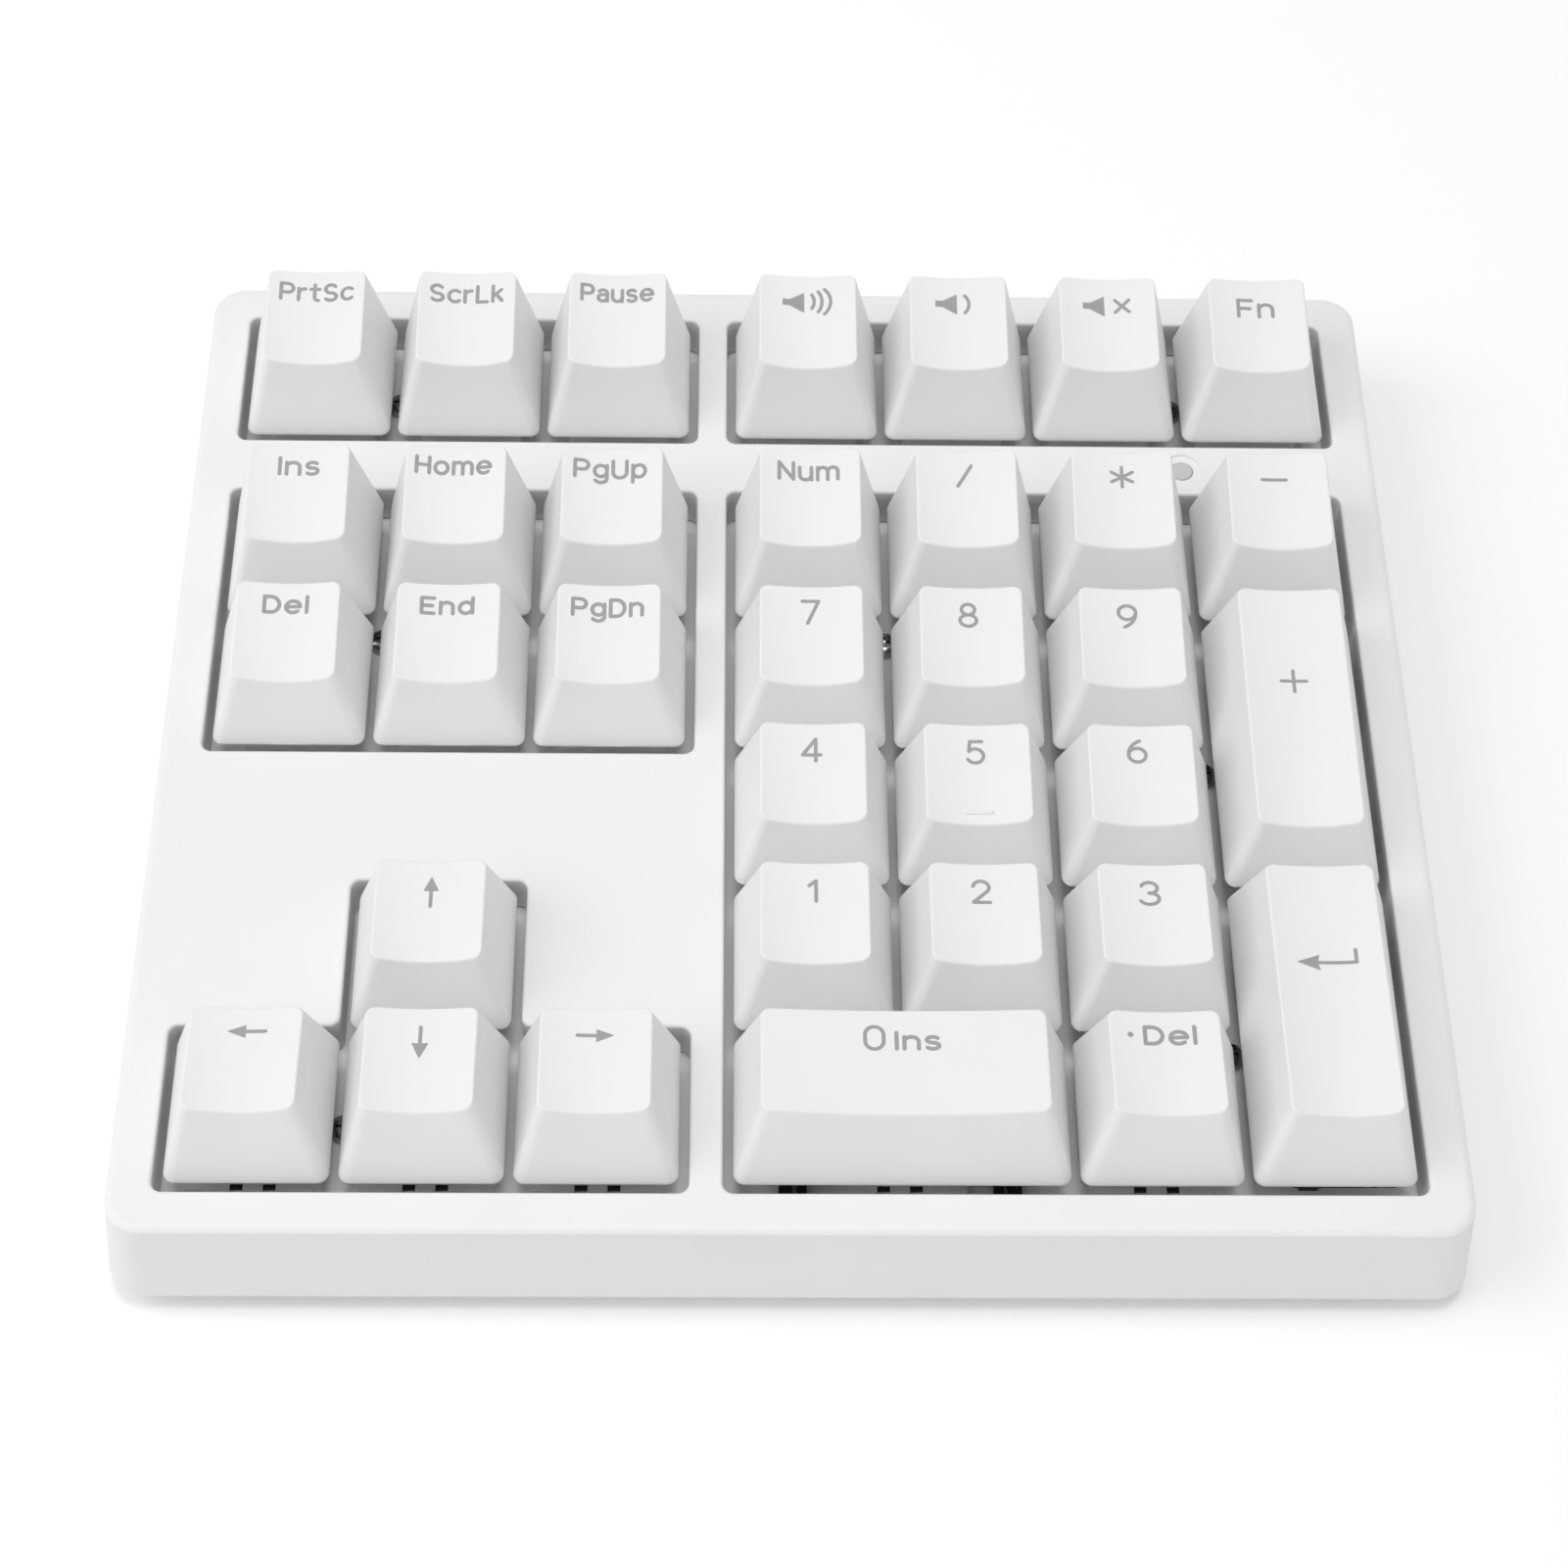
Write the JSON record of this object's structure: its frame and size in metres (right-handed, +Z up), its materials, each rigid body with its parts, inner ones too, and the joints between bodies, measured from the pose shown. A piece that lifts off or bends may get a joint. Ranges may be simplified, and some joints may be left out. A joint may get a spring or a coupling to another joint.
{
  "type": "numeric keypad",
  "caption": "Compact mechanical numeric keypad with navigation and arrow keys: flat rounded case, sculpted caps on sprung switches, flip-out rear feet.",
  "frame": {"origin": "on the table, under the middle of the case's plan; the undersides of the rubber feet are at z = 0", "axes": "+X right as typed on, +Y to the rear edge where the connector is, +Z up out of the keys"},
  "size_m": [0.1524, 0.1374, 0.0289],
  "materials": {
    "case_plastic": "fine matt moulded white",
    "key_plastic": "smooth satin white with grey legends",
    "plate_paint": "white powder coat",
    "board_resin": "dark board with moulded switch housings",
    "steel": "plain drawn or stamped steel",
    "black_steel": "blackened screws",
    "rubber": "matt grey rubber",
    "lens_plastic": "frosted light pipe"
  },
  "bodies": {
    "case": {"top_case": "case_plastic", "bottom_case": "case_plastic", "switch_plate": "plate_paint", "circuit_board": "board_resin", "usb_c_port": "steel", "indicator_lens": "lens_plastic", "plate_screw_1": "black_steel", "plate_screw_2": "black_steel", "plate_screw_3": "black_steel", "plate_screw_4": "black_steel", "plate_screw_5": "black_steel", "plate_screw_6": "black_steel", "plate_screw_7": "black_steel", "case_screw_1": "black_steel", "case_screw_2": "black_steel", "case_screw_3": "black_steel", "case_screw_4": "black_steel", "rubber_foot_front_left": "rubber", "rubber_foot_front_right": "rubber", "rubber_foot_rear_left": "rubber", "rubber_foot_rear_right": "rubber"},
    "key_print_screen": {"key_print_screen": "key_plastic"},
    "key_scroll_lock": {"key_scroll_lock": "key_plastic"},
    "key_pause": {"key_pause": "key_plastic"},
    "key_volume_up": {"key_volume_up": "key_plastic"},
    "key_volume_down": {"key_volume_down": "key_plastic"},
    "key_mute": {"key_mute": "key_plastic"},
    "key_fn": {"key_fn": "key_plastic"},
    "key_insert": {"key_insert": "key_plastic"},
    "key_home": {"key_home": "key_plastic"},
    "key_page_up": {"key_page_up": "key_plastic"},
    "key_num_lock": {"key_num_lock": "key_plastic"},
    "key_divide": {"key_divide": "key_plastic"},
    "key_multiply": {"key_multiply": "key_plastic"},
    "key_subtract": {"key_subtract": "key_plastic"},
    "key_delete": {"key_delete": "key_plastic"},
    "key_end": {"key_end": "key_plastic"},
    "key_page_down": {"key_page_down": "key_plastic"},
    "key_seven": {"key_seven": "key_plastic"},
    "key_eight": {"key_eight": "key_plastic"},
    "key_nine": {"key_nine": "key_plastic"},
    "key_add": {"key_add": "key_plastic"},
    "key_four": {"key_four": "key_plastic"},
    "key_five": {"key_five": "key_plastic"},
    "key_six": {"key_six": "key_plastic"},
    "key_arrow_up": {"key_arrow_up": "key_plastic"},
    "key_one": {"key_one": "key_plastic"},
    "key_two": {"key_two": "key_plastic"},
    "key_three": {"key_three": "key_plastic"},
    "key_enter": {"key_enter": "key_plastic"},
    "key_arrow_left": {"key_arrow_left": "key_plastic"},
    "key_arrow_down": {"key_arrow_down": "key_plastic"},
    "key_arrow_right": {"key_arrow_right": "key_plastic"},
    "key_zero": {"key_zero": "key_plastic"},
    "key_decimal": {"key_decimal": "key_plastic"},
    "stabiliser_wire_add": {"stabiliser_wire_add": "steel"},
    "stabiliser_wire_enter": {"stabiliser_wire_enter": "steel"},
    "stabiliser_wire_zero": {"stabiliser_wire_zero": "steel"},
    "flip_foot_left": {"flip_foot_left": "case_plastic"},
    "flip_foot_right": {"flip_foot_right": "case_plastic"}
  },
  "joints": [
    {"name": "press_print_screen", "type": "slide", "parent": "case", "child": "key_print_screen", "axis": [0, 0, -1], "range_m": [0, 0.004], "stiffness_N_per_m": 55, "springref_m": -0.008},
    {"name": "press_scroll_lock", "type": "slide", "parent": "case", "child": "key_scroll_lock", "axis": [0, 0, -1], "range_m": [0, 0.004], "stiffness_N_per_m": 55, "springref_m": -0.008},
    {"name": "press_pause", "type": "slide", "parent": "case", "child": "key_pause", "axis": [0, 0, -1], "range_m": [0, 0.004], "stiffness_N_per_m": 55, "springref_m": -0.008},
    {"name": "press_volume_up", "type": "slide", "parent": "case", "child": "key_volume_up", "axis": [0, 0, -1], "range_m": [0, 0.004], "stiffness_N_per_m": 55, "springref_m": -0.008},
    {"name": "press_volume_down", "type": "slide", "parent": "case", "child": "key_volume_down", "axis": [0, 0, -1], "range_m": [0, 0.004], "stiffness_N_per_m": 55, "springref_m": -0.008},
    {"name": "press_mute", "type": "slide", "parent": "case", "child": "key_mute", "axis": [0, 0, -1], "range_m": [0, 0.004], "stiffness_N_per_m": 55, "springref_m": -0.008},
    {"name": "press_fn", "type": "slide", "parent": "case", "child": "key_fn", "axis": [0, 0, -1], "range_m": [0, 0.004], "stiffness_N_per_m": 55, "springref_m": -0.008},
    {"name": "press_insert", "type": "slide", "parent": "case", "child": "key_insert", "axis": [0, 0, -1], "range_m": [0, 0.004], "stiffness_N_per_m": 55, "springref_m": -0.008},
    {"name": "press_home", "type": "slide", "parent": "case", "child": "key_home", "axis": [0, 0, -1], "range_m": [0, 0.004], "stiffness_N_per_m": 55, "springref_m": -0.008},
    {"name": "press_page_up", "type": "slide", "parent": "case", "child": "key_page_up", "axis": [0, 0, -1], "range_m": [0, 0.004], "stiffness_N_per_m": 55, "springref_m": -0.008},
    {"name": "press_num_lock", "type": "slide", "parent": "case", "child": "key_num_lock", "axis": [0, 0, -1], "range_m": [0, 0.004], "stiffness_N_per_m": 55, "springref_m": -0.008},
    {"name": "press_divide", "type": "slide", "parent": "case", "child": "key_divide", "axis": [0, 0, -1], "range_m": [0, 0.004], "stiffness_N_per_m": 55, "springref_m": -0.008},
    {"name": "press_multiply", "type": "slide", "parent": "case", "child": "key_multiply", "axis": [0, 0, -1], "range_m": [0, 0.004], "stiffness_N_per_m": 55, "springref_m": -0.008},
    {"name": "press_subtract", "type": "slide", "parent": "case", "child": "key_subtract", "axis": [0, 0, -1], "range_m": [0, 0.004], "stiffness_N_per_m": 55, "springref_m": -0.008},
    {"name": "press_delete", "type": "slide", "parent": "case", "child": "key_delete", "axis": [0, 0, -1], "range_m": [0, 0.004], "stiffness_N_per_m": 55, "springref_m": -0.008},
    {"name": "press_end", "type": "slide", "parent": "case", "child": "key_end", "axis": [0, 0, -1], "range_m": [0, 0.004], "stiffness_N_per_m": 55, "springref_m": -0.008},
    {"name": "press_page_down", "type": "slide", "parent": "case", "child": "key_page_down", "axis": [0, 0, -1], "range_m": [0, 0.004], "stiffness_N_per_m": 55, "springref_m": -0.008},
    {"name": "press_seven", "type": "slide", "parent": "case", "child": "key_seven", "axis": [0, 0, -1], "range_m": [0, 0.004], "stiffness_N_per_m": 55, "springref_m": -0.008},
    {"name": "press_eight", "type": "slide", "parent": "case", "child": "key_eight", "axis": [0, 0, -1], "range_m": [0, 0.004], "stiffness_N_per_m": 55, "springref_m": -0.008},
    {"name": "press_nine", "type": "slide", "parent": "case", "child": "key_nine", "axis": [0, 0, -1], "range_m": [0, 0.004], "stiffness_N_per_m": 55, "springref_m": -0.008},
    {"name": "press_add", "type": "slide", "parent": "case", "child": "key_add", "axis": [0, 0, -1], "range_m": [0, 0.004], "stiffness_N_per_m": 55, "springref_m": -0.008},
    {"name": "press_four", "type": "slide", "parent": "case", "child": "key_four", "axis": [0, 0, -1], "range_m": [0, 0.004], "stiffness_N_per_m": 55, "springref_m": -0.008},
    {"name": "press_five", "type": "slide", "parent": "case", "child": "key_five", "axis": [0, 0, -1], "range_m": [0, 0.004], "stiffness_N_per_m": 55, "springref_m": -0.008},
    {"name": "press_six", "type": "slide", "parent": "case", "child": "key_six", "axis": [0, 0, -1], "range_m": [0, 0.004], "stiffness_N_per_m": 55, "springref_m": -0.008},
    {"name": "press_arrow_up", "type": "slide", "parent": "case", "child": "key_arrow_up", "axis": [0, 0, -1], "range_m": [0, 0.004], "stiffness_N_per_m": 55, "springref_m": -0.008},
    {"name": "press_one", "type": "slide", "parent": "case", "child": "key_one", "axis": [0, 0, -1], "range_m": [0, 0.004], "stiffness_N_per_m": 55, "springref_m": -0.008},
    {"name": "press_two", "type": "slide", "parent": "case", "child": "key_two", "axis": [0, 0, -1], "range_m": [0, 0.004], "stiffness_N_per_m": 55, "springref_m": -0.008},
    {"name": "press_three", "type": "slide", "parent": "case", "child": "key_three", "axis": [0, 0, -1], "range_m": [0, 0.004], "stiffness_N_per_m": 55, "springref_m": -0.008},
    {"name": "press_enter", "type": "slide", "parent": "case", "child": "key_enter", "axis": [0, 0, -1], "range_m": [0, 0.004], "stiffness_N_per_m": 55, "springref_m": -0.008},
    {"name": "press_arrow_left", "type": "slide", "parent": "case", "child": "key_arrow_left", "axis": [0, 0, -1], "range_m": [0, 0.004], "stiffness_N_per_m": 55, "springref_m": -0.008},
    {"name": "press_arrow_down", "type": "slide", "parent": "case", "child": "key_arrow_down", "axis": [0, 0, -1], "range_m": [0, 0.004], "stiffness_N_per_m": 55, "springref_m": -0.008},
    {"name": "press_arrow_right", "type": "slide", "parent": "case", "child": "key_arrow_right", "axis": [0, 0, -1], "range_m": [0, 0.004], "stiffness_N_per_m": 55, "springref_m": -0.008},
    {"name": "press_zero", "type": "slide", "parent": "case", "child": "key_zero", "axis": [0, 0, -1], "range_m": [0, 0.004], "stiffness_N_per_m": 55, "springref_m": -0.008},
    {"name": "press_decimal", "type": "slide", "parent": "case", "child": "key_decimal", "axis": [0, 0, -1], "range_m": [0, 0.004], "stiffness_N_per_m": 55, "springref_m": -0.008},
    {"name": "tilt_wire_add", "type": "hinge", "parent": "case", "child": "stabiliser_wire_add", "pos_m": [0.06835, -0.00455, 0.0076], "axis": [0, -1, 0], "range_deg": [0, 26.2]},
    {"name": "tilt_wire_enter", "type": "hinge", "parent": "case", "child": "stabiliser_wire_enter", "pos_m": [0.06835, -0.04265, 0.0076], "axis": [0, -1, 0], "range_deg": [0, 26.2]},
    {"name": "tilt_wire_zero", "type": "hinge", "parent": "case", "child": "stabiliser_wire_zero", "pos_m": [0.01202, -0.04347, 0.0076], "axis": [1, 0, 0], "range_deg": [0, 26.2]},
    {"name": "unfold_foot_left", "type": "hinge", "parent": "case", "child": "flip_foot_left", "pos_m": [-0.052, 0.0469, 0.0019], "axis": [1, 0, 0], "range_deg": [0, 85]},
    {"name": "unfold_foot_right", "type": "hinge", "parent": "case", "child": "flip_foot_right", "pos_m": [0.052, 0.0469, 0.0019], "axis": [1, 0, 0], "range_deg": [0, 85]}
  ],
  "couplings": [
    {"joint": "tilt_wire_add", "follows": "press_add", "rad_per_m": 113.78},
    {"joint": "tilt_wire_enter", "follows": "press_enter", "rad_per_m": 113.78},
    {"joint": "tilt_wire_zero", "follows": "press_zero", "rad_per_m": 113.78}
  ]
}
